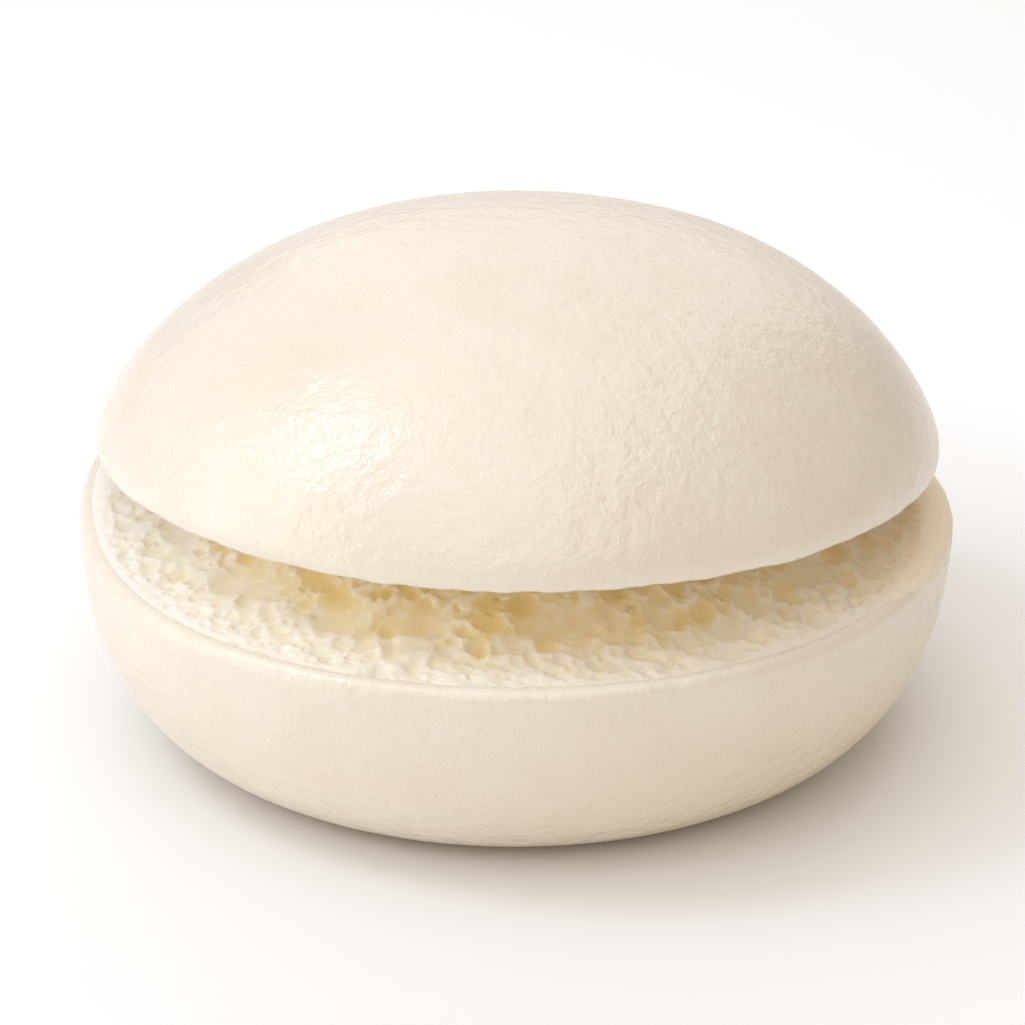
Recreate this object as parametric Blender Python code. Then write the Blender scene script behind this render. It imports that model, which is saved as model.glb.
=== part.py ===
"""Split steamed bun for a bao burger: a flat-footed base, and a lid that rests on the base's torn core.

Metres, +Z up. The origin is the middle of the flat foot, and the open, raised side faces -Y. A place on the
bun is given by its radius and its azimuth, which is 0 at the open front and grows towards +X.
"""
import math
import random
from dataclasses import dataclass

import bmesh
import bpy
from mathutils import Matrix, Vector, noise

MM = 0.001

# Base: a full quarter-ellipse wall over a flat foot, a rounded lip of skin, then the torn crumb.
BUN_RADIUS = 47.5 * MM
FOOT_RADIUS = 31.6 * MM
WALL_HEIGHT = 22.2 * MM
WALL_POWERS = (1.97, 2.12)
LIP_WIDTH = 1.3 * MM
LIP_HEIGHT = 1.3 * MM
LEDGE_WIDTH = 2.0 * MM
LEDGE_RISE = 0.5 * MM
CRUMB_RISE_POWER = 1.6

# Where the base's lip and the lid's cut edge stand high: azimuth and spread in degrees, and height.
LIP_SWELLS = ((-103.0, 32.0, 3.0 * MM), (97.0, 34.0, 0.9 * MM))
EDGE_SWELLS = ((-54.0, 26.0, 0.6 * MM), (76.0, 16.0, -0.3 * MM))

# Lid: a superellipse dome over a cut plane that is raised at the front.
LID_RADIUS = 45.95 * MM
LID_HEIGHT = 25.0 * MM
LID_POWERS = (2.24, 1.56)
LID_PLACE = Vector((0.25 * MM, 1.0 * MM, 31.1 * MM))
LID_TILT = math.radians(1.6)
LID_ROLL = math.radians(0.4)
LID_LEAN = 0.4 * MM
LID_EDGE_RADIUS = 0.8 * MM
LID_CURL = 0.6 * MM
LID_CURL_HEIGHT = 2.4 * MM
LID_LEDGE_WIDTH = 1.5 * MM
LID_CORE_DROP = 2.6 * MM
LID_DROP_POWER = 1.2

# Torn core, where the halves still touch.
CORE_RADIUS = 33.0 * MM
CORE_GAP = 0.3 * MM

# Open cells of the crumb: many small pits, and a few long shallow tears near the lid's edge.
PITS_PER_FACE = 230
PIT_RADIUS = (1.1 * MM, 2.5 * MM)
PIT_DEPTH = (0.6 * MM, 1.5 * MM)
PIT_SPACING = 1.05
TEARS = (
    # azimuth in degrees, radius, half length, half width, depth
    (-68.0, 38.0 * MM, 4.0 * MM, 2.2 * MM, 1.4 * MM),
    (-44.0, 37.0 * MM, 5.0 * MM, 2.6 * MM, 1.7 * MM),
    (-27.0, 38.5 * MM, 3.6 * MM, 2.0 * MM, 1.3 * MM),
    (-15.0, 37.5 * MM, 4.0 * MM, 2.0 * MM, 1.4 * MM),
    (8.0, 37.5 * MM, 6.5 * MM, 2.4 * MM, 1.8 * MM),
    (31.0, 41.0 * MM, 3.6 * MM, 1.7 * MM, 1.0 * MM),
    (52.0, 38.0 * MM, 4.2 * MM, 2.2 * MM, 1.5 * MM),
    (78.0, 38.0 * MM, 4.0 * MM, 2.2 * MM, 1.3 * MM),
)

# Soft unevenness of the skin.
SKIN_SWELL = 0.28 * MM
SKIN_SWELL_SIZE = 24.0 * MM

# Rings of points: fine where the crumb is torn, coarser on the smooth skin and in the middle.
SKIN_SEGMENTS = 72
BASE_CRUMB_SEGMENTS = 168
BASE_CRUMB_STEPS = 11
LID_CRUMB_SEGMENTS = 144
LID_CRUMB_STEPS = 8
CORE_SEGMENTS = 36
WALL_STEPS = 9
DOME_STEPS = 11
ROUND_STEPS = 3
CORE_RINGS = (0.90, 0.77, 0.60, 0.38, 0.17)

SKIN_COLOUR = (0.86, 0.78, 0.66, 1.0)
LID_COLOUR = (0.90, 0.83, 0.71, 1.0)
SKIN_ROUGHNESS = 0.48


@dataclass(frozen=True)
class Pit:
    """An open cell or tear: an ellipse on plan, turned so that its length follows the rim."""

    x: float
    y: float
    azimuth: float
    half_length: float
    half_width: float
    depth: float

    def sink(self, x, y):
        """Depth of the pit at a place on plan, 0 outside it."""
        across_x, across_y = x - self.x, y - self.y
        outward = across_x * math.sin(self.azimuth) - across_y * math.cos(self.azimuth)
        along = across_x * math.cos(self.azimuth) + across_y * math.sin(self.azimuth)
        distance = (along / self.half_length) ** 2 + (outward / self.half_width) ** 2
        return self.depth * (1.0 - distance) ** 0.75 if distance < 1.0 else 0.0


def clear_scene():
    """Removes whatever the file holds, so that the model is the same each run."""
    for item in list(bpy.data.objects):
        bpy.data.objects.remove(item, do_unlink=True)


def mix(start, end, share):
    """Value a share of the way from start to end."""
    return start + (end - start) * share


def plan_point(radius, azimuth):
    """X and Y of a place given by its radius and azimuth."""
    return radius * math.sin(azimuth), -radius * math.cos(azimuth)


def swell_at(swells, azimuth):
    """How far an edge stands above its even height at an azimuth."""
    rise = 0.0
    for centre, spread, height in swells:
        turn = (math.degrees(azimuth) - centre + 180.0) % 360.0 - 180.0
        rise += height * math.exp(-((turn / spread) ** 2))
    return rise


def skin_swell(x, y, z):
    """Soft unevenness of the skin at a point, in or out."""
    return SKIN_SWELL * noise.noise(Vector((x, y, z)) / SKIN_SWELL_SIZE)


def lid_matrix():
    """Place of the lid: tilted up at the front, rolled a little, and set on the core."""
    turn = Matrix.Rotation(LID_ROLL, 4, "Y") @ Matrix.Rotation(-LID_TILT, 4, "X")
    return Matrix.Translation(LID_PLACE) @ turn


def core_height(x, y):
    """Height of the base's core: parallel to the lid's cut plane, and just under the lid's core."""
    normal = lid_matrix().to_3x3() @ Vector((0.0, 0.0, 1.0))
    plane = LID_PLACE.z - (normal.x * (x - LID_PLACE.x) + normal.y * (y - LID_PLACE.y)) / normal.z
    return plane - (LID_CORE_DROP + CORE_GAP) / normal.z


def scatter_pits(seed):
    """Draws the cells of one torn face, larger towards the core and no two closer than their spacing."""
    draw = random.Random(seed)
    outer = BUN_RADIUS - LIP_WIDTH - LEDGE_WIDTH - PIT_RADIUS[0]
    pits = []
    tries = 0
    while len(pits) < PITS_PER_FACE and tries < 40 * PITS_PER_FACE:
        tries += 1
        radius = outer * math.sqrt(draw.uniform(0.04, 1.0))
        azimuth = draw.uniform(-math.pi, math.pi)
        inward = 1.0 - radius / outer
        size = mix(PIT_RADIUS[0], PIT_RADIUS[1], min(1.0, 2.5 * inward) * draw.uniform(0.3, 1.0))
        stretch = draw.uniform(1.0, 1.5)
        x, y = plan_point(radius, azimuth)
        crowded = any(math.hypot(x - p.x, y - p.y) < PIT_SPACING * (size + p.half_width) for p in pits)
        if crowded:
            continue
        depth = mix(PIT_DEPTH[0], PIT_DEPTH[1], (size - PIT_RADIUS[0]) / (PIT_RADIUS[1] - PIT_RADIUS[0]))
        pits.append(Pit(x, y, azimuth, size * stretch, size, depth))
    return pits


def tear_pits():
    """The long tears of the base's open front."""
    pits = []
    for degrees, radius, half_length, half_width, depth in TEARS:
        azimuth = math.radians(degrees)
        x, y = plan_point(radius, azimuth)
        pits.append(Pit(x, y, azimuth, half_length, half_width, depth))
    return pits


def sink_at(pits, x, y):
    """Depth of the deepest pit over a place on plan."""
    return max(pit.sink(x, y) for pit in pits)


def ring(segments, point_at):
    """Points once round the bun, from a function of azimuth."""
    return [point_at(2.0 * math.pi * index / segments) for index in range(segments)]


def wall_rings():
    """Base's skin from the edge of the foot up to its widest point."""
    rings = []
    for step in range(WALL_STEPS, -1, -1):
        turn = 0.5 * math.pi * step / WALL_STEPS
        radius = mix(FOOT_RADIUS, BUN_RADIUS, max(0.0, math.cos(turn)) ** (2.0 / WALL_POWERS[0]))
        height = WALL_HEIGHT * (1.0 - math.sin(turn) ** (2.0 / WALL_POWERS[1]))
        rings.append(ring(SKIN_SEGMENTS, base_skin_point(radius, max(0.0, height))))
    return rings


def base_skin_point(radius, height):
    """Function of azimuth for one ring of the base's skin, raised by the lip's swell near the top."""
    share = height / WALL_HEIGHT

    def point(azimuth):
        x, y = plan_point(radius, azimuth)
        grow = 1.0 + skin_swell(x, y, height) * min(1.0, share) / radius
        return Vector((x * grow, y * grow, height + swell_at(LIP_SWELLS, azimuth) * share ** 4))

    return point


def lip_rings():
    """Base's lip, rounded from the widest point in to the ledge."""
    rings = []
    for step in range(1, ROUND_STEPS + 1):
        turn = 0.5 * math.pi * step / ROUND_STEPS
        radius = BUN_RADIUS - LIP_WIDTH * (1.0 - math.cos(turn))
        height = WALL_HEIGHT + LIP_HEIGHT * math.sin(turn)
        rings.append(ring(SKIN_SEGMENTS, base_skin_point(radius, height)))
    return rings


def base_crumb_point(radius, pits):
    """Function of azimuth for one ring of the base's torn face: dense ledge, concave rise, then core."""
    ledge_outer = BUN_RADIUS - LIP_WIDTH
    ledge_inner = ledge_outer - LEDGE_WIDTH
    along_ledge = min(1.0, (ledge_outer - radius) / LEDGE_WIDTH)
    inward = min(1.0, max(0.0, (ledge_inner - radius) / (ledge_inner - CORE_RADIUS)))

    def point(azimuth):
        x, y = plan_point(radius, azimuth)
        swell = swell_at(LIP_SWELLS, azimuth)
        lip = WALL_HEIGHT + LIP_HEIGHT + swell * ((WALL_HEIGHT + LIP_HEIGHT) / WALL_HEIGHT) ** 4
        ledge = lip + LEDGE_RISE * along_ledge
        height = mix(ledge, core_height(x, y), inward ** CRUMB_RISE_POWER)
        return Vector((x, y, height - sink_at(pits, x, y) * along_ledge))

    return point


def crumb_rings(outer_radius, segments, steps, point_for_radius):
    """Rings over a torn face, from its outer edge to the middle, with fewer points towards the middle."""
    rings = []
    for step in range(steps + 1):
        radius = mix(outer_radius, CORE_RADIUS, step / steps)
        rings.append(ring(segments, point_for_radius(radius)))
    for share in CORE_RINGS:
        fewer = SKIN_SEGMENTS if share > 0.5 else CORE_SEGMENTS
        rings.append(ring(fewer, point_for_radius(CORE_RADIUS * share)))
    return rings


def base_rings():
    """All the rings of the base, from the foot's edge to the middle of the core."""
    pits = scatter_pits(seed=7) + tear_pits()
    ledge_outer = BUN_RADIUS - LIP_WIDTH
    ledge_inner = ledge_outer - LEDGE_WIDTH
    middle = ring(BASE_CRUMB_SEGMENTS, base_crumb_point(mix(ledge_outer, ledge_inner, 0.5), pits))
    torn = crumb_rings(
        ledge_inner, BASE_CRUMB_SEGMENTS, BASE_CRUMB_STEPS, lambda radius: base_crumb_point(radius, pits)
    )
    return wall_rings() + lip_rings() + [middle] + torn


def dome_rings():
    """Lid's skin in its own frame, from the top down to the rounding of the cut edge."""
    rings = []
    lowest = math.asin((LID_EDGE_RADIUS / LID_HEIGHT) ** (LID_POWERS[1] / 2.0))
    for step in range(DOME_STEPS, -1, -1):
        turn = mix(lowest, 0.5 * math.pi, (step + 0.45) / (DOME_STEPS + 0.45)) if step else lowest
        radius = LID_RADIUS * math.cos(turn) ** (2.0 / LID_POWERS[0])
        height = LID_HEIGHT * math.sin(turn) ** (2.0 / LID_POWERS[1])
        segments = CORE_SEGMENTS if step > DOME_STEPS - 2 else SKIN_SEGMENTS
        rings.append(ring(segments, lid_skin_point(radius, height)))
    return rings


def lid_skin_point(radius, height):
    """Function of azimuth for one ring of the lid's skin, which curls in just above the cut."""
    curl = LID_CURL * max(0.0, 1.0 - height / LID_CURL_HEIGHT) ** 2
    rise = height / LID_HEIGHT

    def point(azimuth):
        x, y = plan_point(radius - curl, azimuth)
        swell = skin_swell(x, y, height + LID_HEIGHT)
        grow = 1.0 + swell * (1.0 - rise) / LID_RADIUS
        lift = swell * rise + swell_at(EDGE_SWELLS, azimuth) * (1.0 - rise) ** 4
        return Vector((x * grow + LID_LEAN * rise ** 2, y * grow, height + lift))

    return point


def lid_edge_rings():
    """Lid's cut edge, rounded from the skin in to the flat of the cut."""
    outer = LID_RADIUS - LID_CURL
    rings = []
    for step in range(1, ROUND_STEPS + 1):
        turn = 0.5 * math.pi * step / ROUND_STEPS
        radius = outer - LID_EDGE_RADIUS * (1.0 - math.cos(turn))
        height = LID_EDGE_RADIUS * (1.0 - math.sin(turn))
        rings.append(ring(SKIN_SEGMENTS, lid_skin_point(radius + LID_CURL, height)))
    return rings


def lid_crumb_point(radius, pits):
    """Function of azimuth for one ring of the lid's torn face: a narrow cut ledge, then down to the core."""
    ledge_inner = LID_RADIUS - LID_CURL - LID_EDGE_RADIUS - LID_LEDGE_WIDTH
    inward = min(1.0, max(0.0, (ledge_inner - radius) / (ledge_inner - CORE_RADIUS)))

    def point(azimuth):
        x, y = plan_point(radius, azimuth)
        height = swell_at(EDGE_SWELLS, azimuth) * (1.0 - inward) - LID_CORE_DROP * inward ** LID_DROP_POWER
        return Vector((x, y, height + sink_at(pits, x, y)))

    return point


def lid_rings():
    """All the rings of the lid in its own frame, from the top of the dome to the middle of the core."""
    pits = scatter_pits(seed=23)
    ledge_inner = LID_RADIUS - LID_CURL - LID_EDGE_RADIUS - LID_LEDGE_WIDTH
    torn = crumb_rings(
        ledge_inner, LID_CRUMB_SEGMENTS, LID_CRUMB_STEPS, lambda radius: lid_crumb_point(radius, pits)
    )
    return dome_rings() + lid_edge_rings() + torn


def bridge(mesh, first, second):
    """Joins two rings of points, of equal or different counts, with triangles."""
    step_first = step_second = 0
    while step_first < len(first) or step_second < len(second):
        next_first = (step_first + 1) / len(first)
        next_second = (step_second + 1) / len(second)
        start = first[step_first % len(first)]
        facing = second[step_second % len(second)]
        if next_first <= next_second + 1e-9:
            mesh.faces.new((start, first[(step_first + 1) % len(first)], facing))
            step_first += 1
        else:
            mesh.faces.new((start, second[(step_second + 1) % len(second)], facing))
            step_second += 1


def close_middle(mesh, points):
    """Closes the innermost ring with a fan to a point at its middle."""
    middle = sum((point.co for point in points), Vector()) / len(points)
    centre = mesh.verts.new(middle)
    for index, point in enumerate(points):
        mesh.faces.new((point, points[(index + 1) % len(points)], centre))


def solid_from_rings(name, rings, flat_start):
    """Object with a closed mesh over the rings; its first end is one flat face or a fan, its last a fan."""
    mesh = bmesh.new()
    loops = [[mesh.verts.new(point) for point in points] for points in rings]
    for first, second in zip(loops, loops[1:]):
        bridge(mesh, first, second)
    if flat_start:
        mesh.faces.new(loops[0])
    else:
        close_middle(mesh, loops[0])
    close_middle(mesh, loops[-1])
    bmesh.ops.recalc_face_normals(mesh, faces=mesh.faces)
    data = bpy.data.meshes.new(name)
    mesh.to_mesh(data)
    mesh.free()
    data.shade_smooth()
    data.set_sharp_from_angle(angle=math.radians(60.0))
    solid = bpy.data.objects.new(name, data)
    bpy.context.scene.collection.objects.link(solid)
    return solid


def dress(solid, colour):
    """Gives a solid its own plain steamed-dough material."""
    material = bpy.data.materials.new(solid.name + "_dough")
    material.use_nodes = True
    shader = material.node_tree.nodes["Principled BSDF"]
    shader.inputs["Base Color"].default_value = colour
    shader.inputs["Roughness"].default_value = SKIN_ROUGHNESS
    shader.inputs["Metallic"].default_value = 0.0
    solid.data.materials.append(material)


def main():
    """Builds the bun's two halves."""
    clear_scene()
    base = solid_from_rings("bun_base", base_rings(), flat_start=True)
    dress(base, SKIN_COLOUR)
    lid = solid_from_rings("bun_lid", lid_rings(), flat_start=False)
    lid.matrix_world = lid_matrix()
    dress(lid, LID_COLOUR)


main()
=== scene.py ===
"""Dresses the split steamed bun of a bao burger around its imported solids.

Each half of the bun is two closed pieces: the smooth skin that the steam has set, and the torn crumb
inside it. The skins are turned from the halves' profiles, swollen and finely wrinkled. The crumb is a solid
under an uneven torn face, into which a Geometry Nodes foam presses shallow cups of three sizes and cuts
open cells of two.

Metres, +Z up, and the open side of the bun faces -Y. A place on the bun is given by its radius and its
azimuth, which is 0 at the open front and grows towards +X.
"""
from __future__ import annotations

import logging
import math
from dataclasses import dataclass, field
from enum import Enum
from functools import reduce
from typing import Callable, Mapping, Sequence, Union

import bpy
import numpy as np
from mathutils import Matrix, Vector, noise

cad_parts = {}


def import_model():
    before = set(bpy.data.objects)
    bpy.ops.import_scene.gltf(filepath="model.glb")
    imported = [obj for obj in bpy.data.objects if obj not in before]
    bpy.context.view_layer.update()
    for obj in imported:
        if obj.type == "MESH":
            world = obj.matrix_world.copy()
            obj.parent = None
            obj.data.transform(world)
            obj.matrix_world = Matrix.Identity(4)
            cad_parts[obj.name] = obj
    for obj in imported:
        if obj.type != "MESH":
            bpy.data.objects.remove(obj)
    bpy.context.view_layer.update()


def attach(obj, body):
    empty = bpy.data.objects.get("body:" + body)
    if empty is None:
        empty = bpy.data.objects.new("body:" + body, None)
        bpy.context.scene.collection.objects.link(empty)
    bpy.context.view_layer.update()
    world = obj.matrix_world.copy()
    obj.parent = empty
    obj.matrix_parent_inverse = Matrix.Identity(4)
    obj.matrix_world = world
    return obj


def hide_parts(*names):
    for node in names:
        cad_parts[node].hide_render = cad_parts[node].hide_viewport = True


LOG = logging.getLogger("bao_bun")
MM = 0.001

# Points along a wall and round an edge, before they are spaced evenly.
PROFILE_STEPS = 400
BEND_STEPS = 24
# A place on the torn face itself counts as above it.
TOUCHING = 1e-9

# The numbers that the meshes carry from point to point, for their relief and their finishes.
RELIEF = "relief"
OPENNESS = "openness"
HOLLOWED = "hollowed"
FLARE = "flare"
CELL_DEPTH = "cell_depth"
GROWN_AT = "grown_at"

Key = Union[str, int]
Colour = tuple[float, float, float, float]
# Where a mask starts and where it is full, and the same with its values at the two.
Span = tuple[float, float]
Slope = tuple[float, float, float, float]


class Half(Enum):
    """The two halves of the bun, by the name of the solid that each one covers."""

    BASE = "bun_base"
    LID = "bun_lid"


class Slot(Enum):
    """The part's material slots."""

    BASE_DOUGH = "base_dough"
    LID_DOUGH = "lid_dough"


class Term:
    """An output socket of a node tree, on which Python's operators add Math nodes."""

    def __init__(self, graph: Graph, socket: bpy.types.NodeSocket) -> None:
        """Wraps a socket.

        Args:
            graph: The tree that the socket belongs to.
            socket: The output socket.
        """
        self.graph = graph
        self.socket = socket

    def output(self, key: Key) -> Term:
        """Another output of the same node, by its name, identifier or place."""
        return Term(self.graph, self.graph.find(self.socket.node.outputs, key))

    def __add__(self, other: Value) -> Term:
        """This value plus another."""
        return self.graph.maths("ADD", self, other)

    def __radd__(self, other: Value) -> Term:
        """Another value plus this one."""
        return self.graph.maths("ADD", other, self)

    def __sub__(self, other: Value) -> Term:
        """This value less another."""
        return self.graph.maths("SUBTRACT", self, other)

    def __rsub__(self, other: Value) -> Term:
        """Another value less this one."""
        return self.graph.maths("SUBTRACT", other, self)

    def __mul__(self, other: Value) -> Term:
        """This value times another."""
        return self.graph.maths("MULTIPLY", self, other)

    def __rmul__(self, other: Value) -> Term:
        """Another value times this one."""
        return self.graph.maths("MULTIPLY", other, self)

    def __truediv__(self, other: Value) -> Term:
        """This value over another."""
        return self.graph.maths("DIVIDE", self, other)

    def __rtruediv__(self, other: Value) -> Term:
        """Another value over this one."""
        return self.graph.maths("DIVIDE", other, self)

    def __pow__(self, other: Value) -> Term:
        """This value to a power."""
        return self.graph.maths("POWER", self, other)


Value = Union[Term, float, int, Sequence[float]]


class Graph:
    """A shader or Geometry Nodes tree, to which nodes are added with their settings and values."""

    def __init__(self, tree: bpy.types.NodeTree) -> None:
        """Takes over a tree and empties it.

        Args:
            tree: The tree to fill.
        """
        self.tree = tree
        tree.nodes.clear()

    @staticmethod
    def find(sockets: Sequence[bpy.types.NodeSocket], key: Key) -> bpy.types.NodeSocket:
        """Finds a socket of a node.

        Args:
            sockets: The node's inputs or outputs.
            key: The socket's place, its identifier, or its name.

        Returns:
            The socket; an identifier is tried before a name.
        """
        if isinstance(key, int):
            return sockets[key]
        for socket in sockets:
            if socket.identifier == key:
                return socket
        return next(socket for socket in sockets if socket.name == key and socket.enabled)

    def node(
        self,
        kind: str,
        settings: Mapping[str, object] | None = None,
        values: Mapping[Key, Value] | None = None,
        output: Key = 0,
    ) -> Term:
        """Adds a node.

        Args:
            kind: The node's type.
            settings: What is set on the node itself; "stops" are a ramp's (place, colour) pairs.
            values: The values or links of its inputs.
            output: The output to hand back.

        Returns:
            The chosen output.
        """
        item = self.tree.nodes.new(kind)
        for name, setting in (settings or {}).items():
            if name == "stops":
                self._set_stops(item.color_ramp, setting)
            else:
                setattr(item, name, setting)
        for key, value in (values or {}).items():
            socket = self.find(item.inputs, key)
            if isinstance(value, Term):
                self.tree.links.new(value.socket, socket)
            else:
                socket.default_value = value
        return Term(self, self.find(item.outputs, output)) if len(item.outputs) else Term(self, None)

    @staticmethod
    def _set_stops(ramp: bpy.types.ColorRamp, stops: Sequence[tuple[float, Sequence[float]]]) -> None:
        """Gives a colour ramp its stops.

        Args:
            ramp: The ramp.
            stops: Pairs of a place from 0 to 1 and a colour.
        """
        while len(ramp.elements) < len(stops):
            ramp.elements.new(1.0)
        for element, (place, colour) in zip(ramp.elements, stops):
            element.position = place
            element.color = colour

    def maths(self, operation: str, first: Value, second: Value = 0.0, third: Value = 0.0) -> Term:
        """A Math node on up to three values."""
        values = {0: first, 1: second, 2: third}
        return self.node("ShaderNodeMath", {"operation": operation}, values)

    def vector(
        self, operation: str, first: Value, second: Value = (0.0, 0.0, 0.0), scale: Value = 1.0
    ) -> Term:
        """A Vector Math node; the output is its vector."""
        other = {"Scale": scale} if operation == "SCALE" else {1: second}
        return self.node("ShaderNodeVectorMath", {"operation": operation}, {0: first, **other})

    def largest(self, *values: Value) -> Term:
        """The largest of some values."""
        return reduce(lambda first, second: self.maths("MAXIMUM", first, second), values)

    def part(self, vector: Value, axis: str) -> Term:
        """The X, Y or Z of a vector."""
        return self.node("ShaderNodeSeparateXYZ", None, {"Vector": vector}, axis)

    def joined(self, **parts: Value) -> Term:
        """A vector from its X, Y and Z, 0 where one isn't given."""
        return self.node("ShaderNodeCombineXYZ", None, parts)

    def ramp(self, value: Value, low: float, high: float, start: float = 0.0, end: float = 1.0) -> Term:
        """Maps a value smoothly from the range low to high onto the range start to end, and no further."""
        return self.node(
            "ShaderNodeMapRange",
            {"interpolation_type": "SMOOTHSTEP"},
            {"Value": value, "From Min": low, "From Max": high, "To Min": start, "To Max": end},
        )

    def reach(self, place: Term) -> Term:
        """Distance of a place from the vertical axis."""
        flat = self.vector("MULTIPLY", place, (1.0, 1.0, 0.0))
        return self.node("ShaderNodeVectorMath", {"operation": "LENGTH"}, {0: flat}, "Value")

    def noise(
        self,
        place: Value,
        size: Value,
        detail: float = 2.0,
        kind: str = "FBM",
        rough: float = 0.5,
        output: Key = 0,
    ) -> Term:
        """Noise whose swells are about the given size, in metres: a number of about 0 to 1, or a colour."""
        return self.node(
            "ShaderNodeTexNoise",
            {"noise_dimensions": "3D", "noise_type": kind},
            {"Vector": place, "Scale": 1.0 / size, "Detail": detail, "Roughness": rough},
            output,
        )

    def warped(self, place: Term, size: Value, by: float, detail: float = 2.0) -> Term:
        """A place moved at random by about half of a distance, in swells of the given size."""
        shift = self.noise(place, size, detail, output="Color")
        return self.vector("ADD", place, self.vector("SCALE", shift, scale=by))

    def cells(self, grid: Term, feature: str = "F1") -> Term:
        """Distance to the middles or edges of random cells, one to each unit of a grid."""
        values = {"Vector": grid, "Scale": 1.0}
        return self.node("ShaderNodeTexVoronoi", {"feature": feature}, values, "Distance")

    def carried(self, name: str, output: Key = "Fac") -> Term:
        """What a finish reads from its piece's mesh, by name."""
        return self.node("ShaderNodeAttribute", {"attribute_name": name}, output=output)

    def mixed(self, first: Value, second: Value, share: Value, blend: str = "MIX") -> Term:
        """A colour blended with a share of another."""
        return self.node(
            "ShaderNodeMix",
            {"data_type": "RGBA", "blend_type": blend},
            {"Factor_Float": share, "A_Color": first, "B_Color": second},
            "Result_Color",
        )

    def tinted(self, colour: Value, tints: Sequence[tuple[Value, Colour]]) -> Value:
        """A colour multiplied by tints.

        Args:
            colour: The colour.
            tints: Pairs of a tint's share at a place, from 0 to 1, and the tint.

        Returns:
            The tinted colour.
        """
        for share, tint in tints:
            colour = self.mixed(colour, tint, share, "MULTIPLY")
        return colour

    def bump(self, height: Value) -> Term:
        """The normal of a surface that stands up by a height, in metres."""
        return self.node("ShaderNodeBump", None, {"Strength": 1.0, "Distance": 1.0, "Height": height})


class Relief(Graph):
    """A Geometry Nodes tree with named sizes, which reworks a mesh into a finished plain one."""

    def __init__(self, name: str, sizes: Mapping[str, float]) -> None:
        """Opens a tree.

        Args:
            name: The tree's name.
            sizes: Its named inputs and their values.
        """
        super().__init__(bpy.data.node_groups.new(name, "GeometryNodeTree"))
        self.sizes = dict(sizes)
        interface = self.tree.interface
        for way in ("INPUT", "OUTPUT"):
            interface.new_socket("Geometry", in_out=way, socket_type="NodeSocketGeometry")
        for size in sizes:
            interface.new_socket(size, in_out="INPUT", socket_type="NodeSocketFloat")
        self._inlet = self.node("NodeGroupInput")

    def size(self, name: str) -> Term:
        """A named input of the tree."""
        return self._inlet.output(name)

    def geometry(self) -> Term:
        """The mesh that comes in."""
        return self._inlet.output("Geometry")

    def kept(self, name: str) -> Term:
        """A number that the mesh carries, by its name."""
        values = {"Name": name}
        return self.node("GeometryNodeInputNamedAttribute", {"data_type": "FLOAT"}, values, "Attribute")

    def dress(self, piece: bpy.types.Object, geometry: Term, material: bpy.types.Material) -> None:
        """Ends the tree, runs it on a piece and leaves that a plain mesh of one finish.

        Args:
            piece: The object whose mesh is reworked.
            geometry: What the tree has made of it.
            material: The finish of every face.
        """
        smooth = self.node("GeometryNodeSetShadeSmooth", None, {"Geometry": geometry, "Shade Smooth": True})
        plain = self.node("GeometryNodeRealizeInstances", None, {"Geometry": smooth})
        dressed = self.node("GeometryNodeSetMaterial", None, {"Geometry": plain, "Material": material})
        self.node("NodeGroupOutput", None, {"Geometry": dressed})
        modifier = piece.modifiers.new(self.tree.name, "NODES")
        modifier.node_group = self.tree
        for item in self.tree.interface.items_tree:
            if item.in_out == "INPUT" and item.name in self.sizes:
                modifier[item.identifier] = self.sizes[item.name]
        evaluated = piece.evaluated_get(bpy.context.evaluated_depsgraph_get())
        mesh = bpy.data.meshes.new_from_object(evaluated)
        mesh.polygons.foreach_set("material_index", np.zeros(len(mesh.polygons), dtype=np.int32))
        mesh.materials.clear()
        mesh.materials.append(material)
        piece.modifiers.remove(modifier)
        piece.data = mesh
        mesh.name = piece.name


@dataclass(frozen=True)
class Swell:
    """A place where an edge stands high or low: a soft hump along its azimuth."""

    azimuth: float
    spread: float
    height: float

    def at(self, azimuth: np.ndarray) -> np.ndarray:
        """Height of the hump at each azimuth, given in radians."""
        turn = (np.degrees(azimuth) - self.azimuth + 180.0) % 360.0 - 180.0
        return self.height * np.exp(-((turn / self.spread) ** 2))


@dataclass(frozen=True)
class Hollow:
    """A cell or tear that stands out in the torn face: an ellipse on plan, its length along the rim."""

    azimuth: float
    radius: float
    half_length: float
    half_width: float
    depth: float
    sharpness: float

    def sink(self, x: np.ndarray, y: np.ndarray) -> np.ndarray:
        """Depth of the hollow at places on plan.

        Args:
            x: The places' x.
            y: The places' y.

        Returns:
            A depth for each place, 0 outside the hollow.
        """
        turn = math.radians(self.azimuth)
        from_x = x - self.radius * math.sin(turn)
        from_y = y + self.radius * math.cos(turn)
        outward = from_x * math.sin(turn) - from_y * math.cos(turn)
        along = from_x * math.cos(turn) + from_y * math.sin(turn)
        share = (along / self.half_length) ** 2 + (outward / self.half_width) ** 2
        return self.depth * np.clip(1.0 - share, 0.0, 1.0) ** self.sharpness


def hollow_set(sharpness: float, *places: Sequence[float]) -> tuple[Hollow, ...]:
    """Hollows of one sharpness, each from its azimuth in degrees and its four sizes in millimetres."""
    return tuple(Hollow(turn, *(size * MM for size in sizes), sharpness) for turn, *sizes in places)


def azimuths(segments: int) -> np.ndarray:
    """Azimuths of the points of a ring, in radians."""
    return np.arange(segments) * 2.0 * math.pi / segments


def on_plan(radius: np.ndarray, azimuth: np.ndarray) -> tuple[np.ndarray, np.ndarray]:
    """X and y of places, from their radii and azimuths."""
    return radius * np.sin(azimuth), -radius * np.cos(azimuth)


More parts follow.
